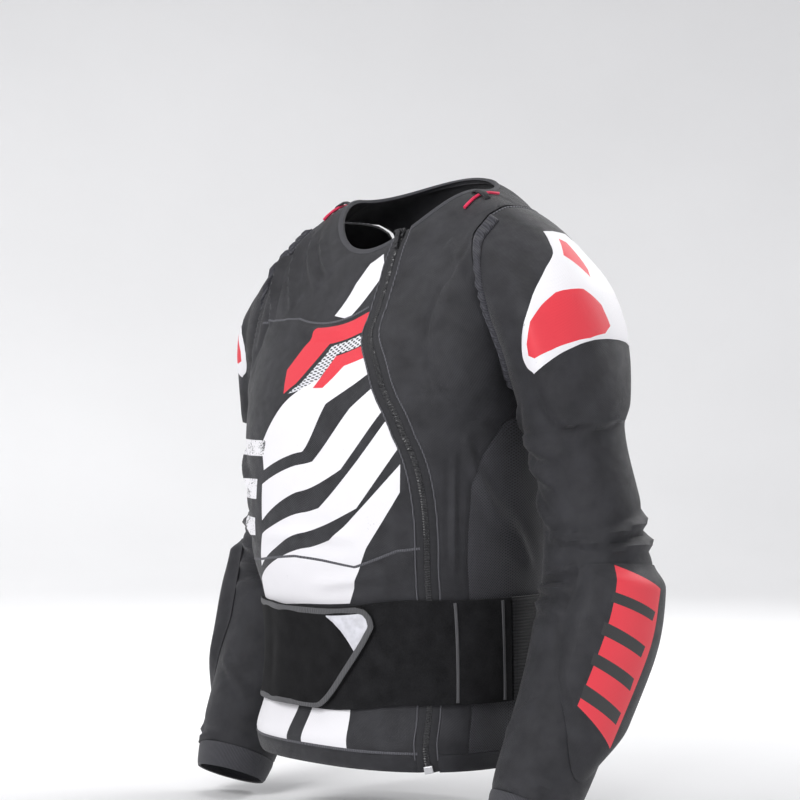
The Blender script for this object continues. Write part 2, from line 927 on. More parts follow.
@dataclass(frozen=True)
class Knit:
    """Stretch knit with fine ribs both ways and a soft sheen."""

    name: str
    colour: Colour
    rib: float = 0.0014
    depth: float = 0.00012
    roughness: float = 0.62
    sheen: float = 0.35
    wear: float = 0.35

    def make(self) -> Look:
        """Builds the material.

        Returns:
            The material.
        """
        graph = Graph(self.name, self.colour, self.roughness, Sheen_Weight=self.sheen, Sheen_Roughness=0.45,
                      Specular_IOR_Level=0.32)
        light = tuple(min(1.0, part * (1 + self.wear) + 0.004) for part in self.colour)
        dark = tuple(part * (1 - self.wear * 0.6) for part in self.colour)
        mottled = graph.spread(graph.noise(38.0, 5.0), 0.3, 0.7, 0.0, 1.0)
        ribs = graph.math("MULTIPLY", graph.waves(self.rib, 0), graph.waves(self.rib * 1.35, 1))
        graph.colour(graph.blend(graph.math("MULTIPLY_ADD", ribs, 0.22, mottled), dark, light))
        graph.rough(graph.spread(graph.noise(90.0), 0.3, 0.7, self.roughness - 0.08, self.roughness + 0.1))
        graph.bump(graph.math("MULTIPLY_ADD", graph.noise(420.0, 2.0), 0.8, ribs), self.depth)
        return graph.look


@dataclass(frozen=True)
class Perforated:
    """Airy mesh: staggered holes between knitted threads."""

    name: str
    colour: Colour
    pitch: float = 0.0021
    depth: float = 0.0004

    def make(self) -> Look:
        """Builds the material.

        Returns:
            The material.
        """
        graph = Graph(self.name, self.colour, 0.7, Sheen_Weight=0.12, Sheen_Roughness=0.5,
                      Specular_IOR_Level=0.3)
        away = graph.dots(self.pitch)
        thread = graph.spread(away, 0.2, 0.42, 0.0, 1.0)
        tone = graph.math("MULTIPLY", thread, graph.spread(graph.noise(30.0, 4.0), 0.3, 0.7, 0.7, 1.0))
        light = tuple(part * 1.5 + 0.006 for part in self.colour)
        graph.colour(graph.blend(tone, tuple(part * 0.25 for part in self.colour), light))
        graph.bump(thread, self.depth)
        return graph.look


@dataclass(frozen=True)
class Print:
    """Ink printed on the knit, rubbed thin in small places."""

    name: str
    ink: tuple[float, float, float]
    cloth: tuple[float, float, float] = (0.032, 0.032, 0.036)
    worn: float = 0.06
    dot_pitch: float = 0.0
    dot_size: float = 0.32

    def make(self) -> Look:
        """Builds the material.

        Returns:
            The material.
        """
        graph = Graph(self.name, self.ink, 0.5, Sheen_Weight=0.12, Sheen_Roughness=0.5)
        speckle = graph.math("MULTIPLY_ADD", graph.noise(620.0, 6.0), 0.55, graph.math(
            "MULTIPLY", graph.noise(70.0, 4.0), 0.45))
        covered = graph.spread(speckle, 0.30 - self.worn, 0.36 - self.worn * 0.3, 0.45, 1.0)
        if self.worn > 0.1:
            covered = graph.spread(speckle, 0.42, 0.47, 0.0, 1.0)
        if self.dot_pitch:
            covered = graph.spread(graph.dots(self.dot_pitch), self.dot_size, self.dot_size + 0.06, 0.0, 1.0)
        shade = graph.spread(graph.noise(26.0, 3.0), 0.3, 0.7, 0.9, 1.0)
        inked = graph.blend(shade, tuple(part * 0.86 for part in self.ink), self.ink)
        graph.colour(graph.blend(covered, self.cloth, inked))
        ribs = graph.math("MULTIPLY", graph.waves(0.0014, 0), graph.waves(0.0019, 1))
        graph.bump(graph.math("MULTIPLY_ADD", covered, 0.4, ribs), 0.00009)
        graph.rough(graph.spread(covered, 0.0, 1.0, 0.66, 0.5))
        return graph.look


@dataclass(frozen=True)
class Velour:
    """Brushed loop pile: matte, with small tufts."""

    name: str
    colour: Colour
    tuft: float = 900.0
    depth: float = 0.0005

    def make(self) -> Look:
        """Builds the material.

        Returns:
            The material.
        """
        graph = Graph(self.name, self.colour, 0.95, Sheen_Weight=0.02, Sheen_Roughness=0.7,
                      Specular_IOR_Level=0.08)
        tufts = graph.noise(self.tuft, 4.0)
        brushed = graph.math("MULTIPLY_ADD", graph.noise(55.0, 4.0), 0.7, graph.math("MULTIPLY", tufts, 0.5))
        light = tuple(part * 2.2 + 0.004 for part in self.colour)
        graph.colour(graph.blend(graph.spread(brushed, 0.4, 0.85, 0.0, 1.0), self.colour, light))
        graph.bump(tufts, self.depth, 0.8)
        return graph.look


@dataclass(frozen=True)
class Ribbed:
    """Woven elastic or tape with ribs along one axis."""

    name: str
    colour: Colour
    pitch: float = 0.0024
    axis: int = 1
    depth: float = 0.0003
    roughness: float = 0.7
    contrast: float = 0.5

    def make(self) -> Look:
        """Builds the material.

        Returns:
            The material.
        """
        graph = Graph(self.name, self.colour, self.roughness, Sheen_Weight=0.10, Sheen_Roughness=0.5,
                      Specular_IOR_Level=0.25)
        ribs = graph.spread(graph.waves(self.pitch, self.axis), -1.0, 1.0, 0.0, 1.0)
        threads = graph.spread(graph.waves(0.0011, 1 - self.axis), -1.0, 1.0, 0.0, 1.0)
        weave = graph.math("MULTIPLY_ADD", threads, 0.25, ribs)
        tone = graph.math("MULTIPLY", weave, graph.spread(graph.noise(120.0), 0.3, 0.7, 0.75, 1.0))
        dark = tuple(part * (1 - self.contrast) for part in self.colour)
        light = tuple(min(1.0, part * (1 + self.contrast)) for part in self.colour)
        graph.colour(graph.blend(tone, dark, light))
        graph.bump(weave, self.depth)
        return graph.look


@dataclass(frozen=True)
class Moulded:
    """Moulded rubber or plastic with a fine grain and rubbed places."""

    name: str
    colour: Colour
    roughness: float = 0.45
    metallic: float = 0.0
    grain: float = 700.0
    depth: float = 0.00006
    patch: float = 140.0
    contrast: float = 0.25

    def make(self) -> Look:
        """Builds the material.

        Returns:
            The material.
        """
        graph = Graph(self.name, self.colour, self.roughness, Metallic=self.metallic)
        rubbed = graph.spread(graph.noise(self.patch, 5.0), 0.35, 0.7, 0.0, 1.0)
        light = tuple(min(1.0, part * (1 + self.contrast) + 0.004) for part in self.colour)
        graph.colour(graph.blend(rubbed, self.colour, light))
        graph.rough(graph.spread(rubbed, 0.0, 1.0, self.roughness - 0.08, self.roughness + 0.12))
        graph.bump(graph.noise(self.grain, 2.0), self.depth)
        return graph.look


class Finishes(Enum):
    """The jacket's finishes."""

    KNIT = Knit("stretch_knit", (0.0150, 0.0150, 0.0185), sheen=0.10)
    PANEL = Knit("front_knit", (0.0165, 0.0165, 0.0200), rib=0.0018, depth=0.00016, sheen=0.10)
    MESH = Perforated("perforated_mesh", (0.030, 0.030, 0.036))
    WHITE = Print("white_ink", (0.74, 0.73, 0.76))
    WHITE_WORN = Print("rubbed_white_ink", (0.74, 0.73, 0.76), worn=0.12)
    WHITE_DOTS = Print("dotted_white_ink", (0.66, 0.66, 0.70), dot_pitch=0.0044, dot_size=0.30)
    RED = Print("red_ink", (0.66, 0.026, 0.045))
    BLACK_INK = Print("black_ink", (0.016, 0.016, 0.018), worn=0.02)
    SEAM_GREY = Ribbed("overlock_thread", (0.075, 0.075, 0.085), pitch=0.0022, axis=0, depth=0.0004)
    BINDING = Ribbed("folded_binding", (0.045, 0.045, 0.052), pitch=0.0020, axis=0)
    RUCHED = Ribbed("ruched_elastic", (0.038, 0.038, 0.046), pitch=0.0016, axis=0, depth=0.0002)
    ELASTIC = Ribbed("belt_elastic_ribs", (0.013, 0.013, 0.015), pitch=0.0034, axis=1, depth=0.0006)
    VELOUR = Velour("belt_velour", (0.004, 0.004, 0.0045))
    LOOP = Velour("belt_loop_pile", (0.0055, 0.0055, 0.0062), tuft=620.0, depth=0.0009)
    EDGING = Ribbed("belt_edging", (0.075, 0.075, 0.080), pitch=0.0018, axis=0, contrast=0.3)
    TAB = Moulded("tab_rubber", (0.50, 0.50, 0.54), 0.55)
    PIPING = Moulded("piping_satin", (0.60, 0.022, 0.075), 0.42, grain=1100.0)
    TAPE = Ribbed("zip_tape", (0.020, 0.020, 0.023), pitch=0.0012, axis=1, depth=0.0002)
    TEETH = Moulded("zip_teeth_nylon", (0.018, 0.018, 0.020), 0.32)
    STEEL = Moulded("zip_steel", (0.66, 0.66, 0.68), 0.26, metallic=1.0, grain=260.0)
    PULL = Moulded("zip_pull_lacquer", (0.022, 0.022, 0.024), 0.3)

    @property
    def look(self) -> Look:
        """The finish's material, made once."""
        return bpy.data.materials.get(self.value.name) or self.value.make()


# Front print: turn and level of each shape's corners
WHITE_SHAPES: tuple[tuple[Place, ...], ...] = (
    ((19.0, 0.72), (21.0, 1.54), (12.5, 2.26), (4.5, 2.9), (-3.0, 2.78), (3.5, 1.64), (10.5, 0.92)),
    (
        (21.5, 4.34), (26.0, 5.1), (7.0, 6.38), (0.0, 7.98),
        (-16.5, 8.38), (-18.0, 7.82), (-3.5, 5.82), (7.0, 4.58),
    ),
    ((29.0, 5.62), (34.0, 6.56), (13.5, 8.32), (-20.0, 9.32), (-18.0, 8.64), (2.5, 8.18), (17.5, 6.62)),
    (
        (36.0, 6.94), (39.0, 7.9), (20.5, 9.0), (3.5, 9.4),
        (-28.0, 10.24), (-21.0, 9.58), (4.5, 9.02), (20.5, 8.16),
    ),
    (
        (40.5, 8.2), (40.5, 8.7), (25.0, 9.72), (14.5, 10.86),
        (-19.0, 11.02), (-44.5, 10.94), (-35.0, 10.52), (9.0, 9.6),
    ),
    ((-46.5, 13.08), (-5.0, 12.74), (-9.5, 14.46), (-42.0, 14.64)),
    ((0.0, 12.7), (13.5, 12.78), (15.5, 14.2), (-2.5, 14.44)),
)
RED_SHAPES: tuple[tuple[Place, ...], ...] = (
    ((17.0, 2.84), (19.5, 3.46), (0.5, 3.74), (-5.5, 5.42), (-9.0, 5.92), (-13.5, 4.9), (-8.5, 3.26)),
    ((23.0, 4.54), (20.0, 4.0), (5.5, 4.24), (1.0, 5.62), (4.5, 5.62), (11.0, 4.72)),
)
DOT_SHAPES: tuple[tuple[Place, ...], ...] = (
    ((20.0, 3.54), (21.0, 3.98), (6.0, 4.16), (0.5, 5.62), (-7.0, 5.9), (-3.5, 5.42), (2.0, 3.82)),
)
STRIPES: tuple[tuple[Place, ...], ...] = (
    ((-78, 7.72), (-15, 7.72), (-17, 8.1), (-78, 8.1)),
    ((-78, 8.55), (-22, 8.55), (-24, 8.92), (-78, 8.92)),
    ((-78, 9.28), (-27, 9.28), (-29, 9.62), (-78, 9.62)),
)


def ribbon(
    name: str,
    sewing: Sewing,
    path: Array,
    width: float,
    looks: Sequence[Look],
    lift: float,
    wall: float,
    side: int = 1,
    relief: Callable[[Array, Array], Array] | None = None,
    columns: int = 4,
    step: float = 0.003,
) -> Piece:
    """A narrow strip of cloth along a path on a surface.

    Args:
        name: The piece's name.
        sewing: The surface that carries it.
        path: Turns and levels along its middle.
        width: Its width in metres.
        looks: Its finishes.
        lift: How far its outer face is off the surface.
        wall: Its thickness.
        side: -1 mirrors it to the right.
        relief: Raises turns and levels further.
        columns: Faces across its width.
        step: Length of its faces.

    Returns:
        The piece.
    """
    flat = sewing.chart.flat(path[:, 0], path[:, 1])
    lengths = np.concatenate(([0.0], np.cumsum(np.linalg.norm(np.diff(flat, axis=0), axis=1))))
    steps = max(int(lengths[-1] / step), 6)
    even = np.linspace(0, lengths[-1], steps + 1)
    path = np.column_stack([np.interp(even, lengths, path[:, axis]) for axis in (0, 1)])
    points = sewing.surface(path[:, 0], path[:, 1], np.zeros(len(path)))
    step_turn = sewing.surface(path[:, 0] + 0.5, path[:, 1], np.zeros(len(path))) - points
    step_level = sewing.surface(path[:, 0], path[:, 1] + 0.02, np.zeros(len(path))) - points
    forward = unit(np.gradient(points, axis=0))
    normal = unit(np.cross(step_level, step_turn))
    across = unit(np.cross(normal, forward))
    shares = np.linspace(-0.5, 0.5, columns + 1)
    turn = np.empty((len(path), columns + 1))
    level = np.empty_like(turn)
    basis = np.stack((step_turn / 0.5, step_level / 0.02), axis=2)
    moves = np.einsum("nij,nj->ni", np.linalg.pinv(basis), across * width)
    for column, share in enumerate(shares):
        turn[:, column] = path[:, 0] + moves[:, 0] * share
        level[:, column] = path[:, 1] + moves[:, 1] * share
    pattern = Pattern(sewing.chart, turn, level)
    return sewing.lay(name, pattern, looks, lift, relief, (wall * 0.45, width / 7), side, wall=wall)


PANEL_DIP: Place = (0.0007, 0.0028)


@dataclass
class Torso:
    """The front, back and side panels, with the neck binding and the hem band."""

    form: BodyForm
    zip_half: float = 0.0108
    binding_height: float = 0.008
    binding_wall: float = 0.0032
    hem_height: float = 0.018
    hem_wall: float = 0.0028
    gap: float = 0.0004
    creases: tuple[Crease, ...] = (
        Crease((-66, 2.2), (-30, 3.2), 0.0060, 0.0065),
        Crease((-72, 2.6), (-40, 4.2), 0.0055, 0.0062),
        Crease((-74, 3.2), (-52, 5.4), 0.0055, 0.0056),
        Crease((-60, 1.7), (-22, 2.2), 0.0055, 0.0047),
        Crease((-48, 1.2), (-18, 1.5), 0.0050, 0.0034),
        Crease((-30, 3.6), (10, 3.2), 0.0060, 0.0028),
        Crease((-70, 7.6), (-28, 8.8), 0.0080, 0.0047),
        Crease((-68, 9.2), (-30, 9.6), 0.0070, 0.0040),
        Crease((-20, 9.6), (20, 9.5), 0.0070, 0.0031),
        Crease((0, 10.5), (38, 10.2), 0.0060, 0.0025),
        Crease((52, 2.2), (58, 4.0), 0.0060, 0.0031),
        Crease((66, 8.0), (66, 10.2), 0.0045, 0.0019),
        Crease((70, 7.6), (86, 9.4), 0.0060, 0.0031),
        Crease((78, 8.4), (100, 10.2), 0.0060, 0.0031),
        Crease((-24, 14.6), (30, 14.3), 0.0050, 0.0019),
        Crease((140, 9.6), (220, 9.9), 0.0075, 0.0043),
        Crease((130, 10.6), (230, 10.4), 0.0070, 0.0034),
        Crease((118, 2.2), (150, 3.4), 0.0065, 0.0047),
        Crease((242, 2.2), (210, 3.4), 0.0065, 0.0047),
        Crease((120, 3.2), (140, 5.2), 0.0065, 0.0040),
        Crease((240, 3.2), (220, 5.2), 0.0065, 0.0040),
        Crease((160, 1.3), (200, 1.3), 0.0060, 0.0025),
    )
    grooves: tuple[tuple[Place, ...], ...] = (
        ((2.78, 60), (3.34, 56), (3.68, 47.5), (4.31, 45), (4.88, 45.5), (5.59, 50), (6.23, 57), (6.98, 68),
         (7.5, 89)),
    )
    groove_depth: float = 0.0022
    groove_reach: float = 0.0034
    tuck: float = 0.002
    sewing: Sewing = field(init=False)

    def __post_init__(self) -> None:
        """Sets up the sewing on the body."""
        self.sewing = Sewing(self.form.point, self.form.chart())

    def relief(self, turn: Array, level: Array) -> Array:
        """Folds and the pads' outlines.

        Args:
            turn: Degrees round the form.
            level: Levels down the body.

        Returns:
            A rise for each place, in metres.
        """
        chart = self.sewing.chart
        flat = chart.flat(turn, level)
        total = np.zeros(len(turn))
        for shift in (-360, 0, 360):
            moved = chart.flat(turn + shift, level)
            for crease in self.creases:
                total += crease.relief(chart, moved)
        for groove in self.grooves:
            for sign in (1, -1):
                rows, turns = np.array(groove).T
                line = chart.flat(sign * turns, rows)
                away = np.full(len(turn), 9.0)
                for start, end in zip(line, line[1:]):
                    span = end - start
                    along = np.clip((flat - start) @ span / (span @ span), 0, 1)
                    away = np.minimum(away, np.linalg.norm(flat - start - along[:, None] * span, axis=1))
                total -= self.groove_depth * np.exp(-((away / self.groove_reach) ** 2))
        return total

    def levels(self, low: float, high: float) -> Array:
        """Levels of a panel's rows, closer together where the armhole's edge runs flat.

        Args:
            low: The lower end.
            high: The upper end.

        Returns:
            The levels.
        """
        chart = self.sewing.chart
        ends = np.interp((low, high), chart.levels, chart.lengths)
        even = np.interp(np.arange(ends[0], ends[1], CELL), chart.lengths, chart.levels)
        close = [place for place in (self.form.armhole_top, *CLOSE_LEVELS) if low < place < high]
        return np.unique(np.concatenate((even, close, (low, high))))

    def left_start(self, level: Array) -> Array:
        """Turns where the left front panel meets the zip."""
        return self.form.beside_zip(level, self.zip_half)

    def right_end(self, level: Array) -> Array:
        """Turns where the right front panel meets the zip."""
        return self.form.beside_zip(level, -self.zip_half)

    def front_seam(self, level: Array, away: float = 0.0) -> Array:
        """Turns of the left front panel's outer edge."""
        return self.form.beside(level, self.form.front_edge(level), away * self.gap / 2)

    def back_seam(self, level: Array, away: float = 0.0) -> Array:
        """Turns of the back panel's left edge."""
        return self.form.beside(level, 2 * self.form.side_turn - self.form.front_edge(level), away * self.gap / 2)

    def neck_level(self, turn: Array, distance: float) -> Array:
        """Levels this far below the neckline."""
        ones = np.ones(len(turn))
        return distance / np.linalg.norm(self.form.shape(ones, turn) - self.form.shape(ones * 0, turn), axis=1)

    def above_hem(self, turn: Array) -> Array:
        """Levels of the panels' lower edges."""
        return self.form.level_at(turn, self.form.hem_z + self.hem_height + self.gap)

    def band_top(self, turn: Array) -> Array:
        """Levels of the hem band's upper edge."""
        return self.form.level_at(turn, self.form.hem_z + self.hem_height)

    def build(self) -> None:
        """Makes the panels, the binding and the band."""
        last = len(LEVELS) - 1.0
        rows = self.levels(0.0, last)
        printed = [Finishes.PANEL, Finishes.WHITE, Finishes.RED, Finishes.WHITE_DOTS, Finishes.WHITE_WORN]
        panels = (
            ("left_front", "front_left_panel", "mesh_black", [Finishes.PANEL],
             self.left_start, lambda level: self.front_seam(level, -1), 44, 0.52),
            ("right_front", "front_right_panel", "print_white", printed,
             lambda level: -self.front_seam(level, -1), self.right_end, 84, 0.52),
            ("back", "back_panel", "stretch_black", [Finishes.KNIT],
             lambda level: self.back_seam(level, 1), lambda level: 360 - self.back_seam(level, 1), 80, 0.62),
        )
        for name, node, slot, finishes, start, end, columns, length in panels:
            pattern = grid(self.sewing.chart, start, end, rows, columns,
                           lambda turn: self.neck_level(turn, self.binding_height - self.tuck), self.above_hem)
            if finishes is printed:
                self.print_front(pattern)
            piece = self.sewing.lay(f"{name}_cloth", pattern, [finish.look for finish in finishes],
                                    relief=self.relief, edge_dip=PANEL_DIP)
            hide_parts(node)
            declare(length)
        for side, word in ((1, "left"), (-1, "right")):
            side_rows = self.levels(self.form.armpit + 0.05, last)
            pattern = grid(self.sewing.chart, lambda level: self.front_seam(level, 1),
                           lambda level: self.back_seam(level, -1), side_rows, 24, foot=self.above_hem)
            piece = self.sewing.lay(f"{word}_side_mesh", pattern, [Finishes.MESH.look], relief=self.relief,
                                    edge_dip=PANEL_DIP, side=side)
            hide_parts(f"side_panel_{word}")
            declare(0.34)
        self.bands()

    def print_front(self, pattern: Pattern) -> None:
        """Prints the front panel with slanted blades, chevrons and stripes.

        Args:
            pattern: The panel's flat pattern.
        """
        for shapes, slot in ((DOT_SHAPES, 3), (WHITE_SHAPES, 1), (RED_SHAPES, 2), (STRIPES, 4)):
            for outline in shapes:
                pattern.cut(outline, slot)

    def bands(self) -> None:
        """Makes the neck binding and the hem band, open at the zip."""
        last = len(LEVELS) - 1.0
        chart = self.sewing.chart
        pattern = grid(chart, self.left_start, lambda level: self.right_end(level) + 360,
                       np.linspace(0, 1, 7), 190, foot=lambda turn: self.neck_level(turn, self.binding_height))
        piece = self.sewing.lay("neck_edge_binding", pattern, [Finishes.BINDING.look],
                                self.binding_wall - CLOTH_WALL, edge_dip=(0.0012, 0.0016), wall=self.binding_wall)
        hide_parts("neck_binding")
        declare(0.50)
        pattern = grid(chart, self.left_start, lambda level: self.right_end(level) + 360,
                       np.linspace(13.5, last, 40), 220, top=self.band_top)
        piece = self.sewing.lay("hem_edge_band", pattern, [Finishes.KNIT.look], (self.hem_wall - CLOTH_WALL) / 2,
                                edge_dip=(0.0009, 0.0020), wall=self.hem_wall)
        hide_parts("hem_band")
        declare(0.92)


@dataclass(frozen=True)
class PadShape:
    """A pad on the sleeve: stations of its top and foot, its middle turn and its half spans."""

    top: float
    foot: float
    middle: float
    halves: tuple[float, float, float]
    draw: float
    lift: float
    height: float

    def half(self, share: Array) -> Array:
        """Half the turn that it spans at shares of its way down."""
        rows = np.array([[half] for half in self.halves])
        return spline(rows, 2 * np.asarray(share, float))[:, 0]

    def place(self, across: Array, down: Array) -> tuple[Array, Array]:
        """Turns and stations at shares across and down."""
        share = down * (1 - self.draw * across**2)
        return self.middle + self.half(share) * across, self.top + (self.foot - self.top) * share

    def shares(self, turn: Array, station: Array) -> tuple[Array, Array]:
        """Shares across and down at turns and stations.

        Args:
            turn: Degrees round the form.
            station: Stations down the sleeve.

        Returns:
            The shares, from -1 to 1 and from 0 to 1 on the pad.
        """
        share = (station - self.top) / (self.foot - self.top)
        across = (turn - self.middle) / self.half(np.clip(share, 0, 1))
        return across, share / np.maximum(1 - self.draw * across**2, 0.3)


SHOULDER_PAD = PadShape(0.24, 1.12, 16.0, (38.0, 62.0, 56.0), 0.26, 0.0024, 0.0065)
ELBOW_PAD = PadShape(4.10, 9.20, 0.0, (66.0, 76.0, 50.0), 0.50, 0.0014, 0.0125)


@dataclass
class Arm:
    """One sleeve with its cuff, pads, badge and ruched band."""

    form: SleeveForm
    side: int
    cuff_height: float = 0.024
    cuff_wall: float = 0.0030
    band_start: float = 0.0040
    band_width: float = 0.014
    creases: tuple[Crease, ...] = (
        Crease((-60, 2.90), (55, 3.30), 0.0055, 0.0053),
        Crease((-70, 3.35), (40, 3.75), 0.0055, 0.0062),
        Crease((30, 3.55), (110, 3.05), 0.0055, 0.0056),
        Crease((60, 4.10), (130, 4.60), 0.0065, 0.0056),
        Crease((70, 5.00), (140, 4.90), 0.0070, 0.0062),
        Crease((75, 5.90), (140, 5.40), 0.0070, 0.0056),
        Crease((80, 2.20), (150, 1.50), 0.0065, 0.0053),
        Crease((60, 1.70), (140, 1.10), 0.0065, 0.0047),
        Crease((95, 2.90), (150, 2.20), 0.0065, 0.0053),
        Crease((-150, 1.60), (-90, 2.10), 0.0065, 0.0047),
        Crease((-150, 2.40), (-80, 3.00), 0.0065, 0.0050),
        Crease((-140, 5.40), (-80, 5.00), 0.0065, 0.0047),
        Crease((-30, 9.60), (60, 10.10), 0.0055, 0.0034),
        Crease((20, 10.80), (110, 10.20), 0.0050, 0.0037),
        Crease((-120, 10.40), (-40, 10.60), 0.0050, 0.0031),
        Crease((-160, 9.20), (-90, 9.80), 0.0055, 0.0037),
        Crease((75, 7.60), (130, 8.60), 0.0055, 0.0034),
        Crease((120, 0.75), (165, 1.50), 0.0065, 0.0047),
    )
    sewing: Sewing = field(init=False)

    def __post_init__(self) -> None:
        """Sets up the sewing on the sleeve."""
        self.sewing = Sewing(self.form.point, self.form.chart())

    @property
    def word(self) -> str:
        """Left or right."""
        return "left" if self.side > 0 else "right"

    def folds(self, turn: Array, station: Array) -> Array:
        """Folds of the sleeve's cloth.

        Args:
            turn: Degrees round the form.
            station: Stations down the sleeve.

        Returns:
            A rise for each place, in metres.
        """
        chart = self.sewing.chart
        total = np.zeros(len(turn))
        for shift in (-360, 0, 360):
            flat = chart.flat(turn + shift, station)
            for crease in self.creases:
                total += crease.relief(chart, flat)
        return total

    def cup_rise(self, turn: Array, station: Array) -> Array:
        """The shoulder cup's soft dome with its sharper foot.

        Args:
            turn: Degrees round the form.
            station: Stations down the sleeve.

        Returns:
            A rise for each place, in metres.
        """
        across, down = SHOULDER_PAD.shares(turn, station)
        side = smooth_step((1.04 - np.abs(across)) / 0.34)
        top = smooth_step((down + 0.04) / 0.42)
        foot = smooth_step((1.03 - down) / 0.10)
        return (SHOULDER_PAD.lift + SHOULDER_PAD.height) * side * top * foot

    def relief(self, turn: Array, station: Array) -> Array:
        """The folds and the shoulder cup together."""
        return self.folds(turn, station) + self.cup_rise(turn, station)

    def build(self) -> None:
        """Makes the sleeve's pieces."""
        chart = self.sewing.chart
        foot = self.form.station_above_wrist(self.cuff_height + 0.0004)
        ends = np.interp((0.0, foot), chart.levels, chart.lengths)
        stations = np.interp(np.linspace(*ends, 130), chart.lengths, chart.levels)
        stations[0] = 0.0
        columns = 84
        turns = np.tile(np.linspace(-180, 180, columns + 1), (len(stations), 1))
        rows = np.tile(stations[:, None], (1, columns + 1))
        pattern = Pattern(chart, turns, rows)
        piece = self.sewing.lay(f"{self.word}_sleeve_cloth", pattern, [Finishes.KNIT.look], relief=self.relief,
                                edge_dip=(0.0008, 0.003), side=self.side, tube=True)
        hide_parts(f"sleeve_{self.word}", f"shoulder_pad_{self.word}")
        declare(0.56)
        self.cuff_piece()
        self.elbow_pad()
        self.badge()
        self.ruched_band()

    def cuff_piece(self) -> None:
        """Makes the cuff."""
        top, last = self.form.station_above_wrist(self.cuff_height), float(len(RINGS))
        stations = np.linspace(top, last, 9)
        turns = np.tile(np.linspace(-180, 180, 81), (9, 1))
        rows = np.tile(stations[:, None], (1, 81))
        pattern = Pattern(self.sewing.chart, turns, rows)
        piece = self.sewing.lay(f"{self.word}_cuff_band", pattern, [Finishes.BINDING.look],
                                self.cuff_wall - CLOTH_WALL, edge_dip=(0.0008, 0.002), side=self.side, tube=True,
                                wall=self.cuff_wall)
        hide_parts(f"cuff_{self.word}")
        declare(0.24)

    def elbow_crown(self, turn: Array, station: Array) -> Array:
        """The elbow pad's crowned form, which falls away at its edges.

        Args:
            turn: Degrees round the form.
            station: Stations down the sleeve.

        Returns:
            A rise for each place, in metres.
        """
        across, down = ELBOW_PAD.shares(turn, station)
        side = smooth_step((1.005 - np.abs(across)) / 0.30)
        top = smooth_step((down + 0.01) / 0.13)
        foot = smooth_step((1.01 - down) / 0.22)
        return ELBOW_PAD.height * side * top * foot * (1 - 0.25 * np.abs(across) ** 2)

    def elbow_pad(self) -> None:
        """Makes the elbow pad: a crowned cover with a printed slanted block."""
        count_across, count_down = 48, 64
        across = np.tile(np.linspace(-1, 1, count_across + 1), (count_down + 1, 1))
        down = np.tile(np.linspace(0, 1, count_down + 1)[:, None], (1, count_across + 1))
        turn, station = ELBOW_PAD.place(across.ravel(), down.ravel())
        pattern = Pattern(self.sewing.chart, turn.reshape(across.shape), station.reshape(across.shape))
        for outline, slot in ELBOW_PRINT:
            pattern.cut(outline, slot)

        looks = [Finishes.KNIT.look, Finishes.RED.look, Finishes.BLACK_INK.look]
        piece = self.sewing.lay(f"{self.word}_elbow_cover", pattern, looks, ELBOW_PAD.lift, self.elbow_crown,
                                side=self.side, base=0.0003, sharp=70.0)
        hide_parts(f"elbow_pad_{self.word}")

    def badge(self) -> None:
        """Makes the printed patch on the shoulder cup."""
        rows = np.array(BADGE_ROWS)
        stations = np.linspace(rows[0, 0], rows[-1, 0], 34)
        edges = spline_at(rows, stations)
        shares = np.linspace(0, 1, 33)[None, :]
        turn = edges[:, 1:2] * (1 - shares) + edges[:, 2:3] * shares
        pattern = Pattern(self.sewing.chart, turn, np.tile(stations[:, None], (1, 33)))
        for outline, slot in BADGE_PRINT:
            pattern.cut(outline, slot)
        looks = [Finishes.WHITE.look, Finishes.RED.look, Finishes.BLACK_INK.look]
        piece = self.sewing.lay(f"{self.word}_shoulder_patch", pattern, looks, 0.0007, self.cup_rise,
                                (0.0003, 0.001), self.side, wall=0.0010)
        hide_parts(f"shoulder_badge_{self.word}")
        declare(0.10)

    def ruched_band(self) -> None:
        """Makes the gathered elastic along the armhole's front edge."""
        turns = np.linspace(22.0, 152.0, 261)
        zero = np.zeros(len(turns))
        chord = np.linalg.norm(self.form.ring(zero, turns) - self.form.armhole_point(turns), axis=1)
        shares = np.linspace(0, 1, 9)
        station = (self.band_start + shares[None, :] * self.band_width) / (self.form.fullness * chord[:, None])
        turn = np.tile(turns[:, None], (1, 9))
        pattern = Pattern(self.sewing.chart, turn, station)
        middle, half = station.mean(axis=1), (station[:, -1] - station[:, 0]) / 2

        def gathers(turn: Array, station: Array) -> Array:
            """The elastic's puckers, highest along its middle.

            Args:
                turn: Degrees round the form.
                station: Stations down the sleeve.

            Returns:
                A rise for each place, in metres.
            """
            wave = np.sin(np.radians(turn) * 57.0 + 9.0 * np.sin(np.radians(turn * 3)))
            off = np.abs(station - np.interp(turn, turns, middle))
            crown = np.clip(1 - off / np.interp(turn, turns, half), 0, 1)
            return 0.0028 * smooth_step(crown * 2.2) * (0.45 + 0.55 * wave)

        piece = self.sewing.lay(f"{self.word}_armhole_ruching", pattern, [Finishes.RUCHED.look], 0.0026,
                                gathers, (0.0008, 0.001), self.side, wall=0.0026)
        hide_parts(f"ruched_band_{self.word}")
        declare(0.24)


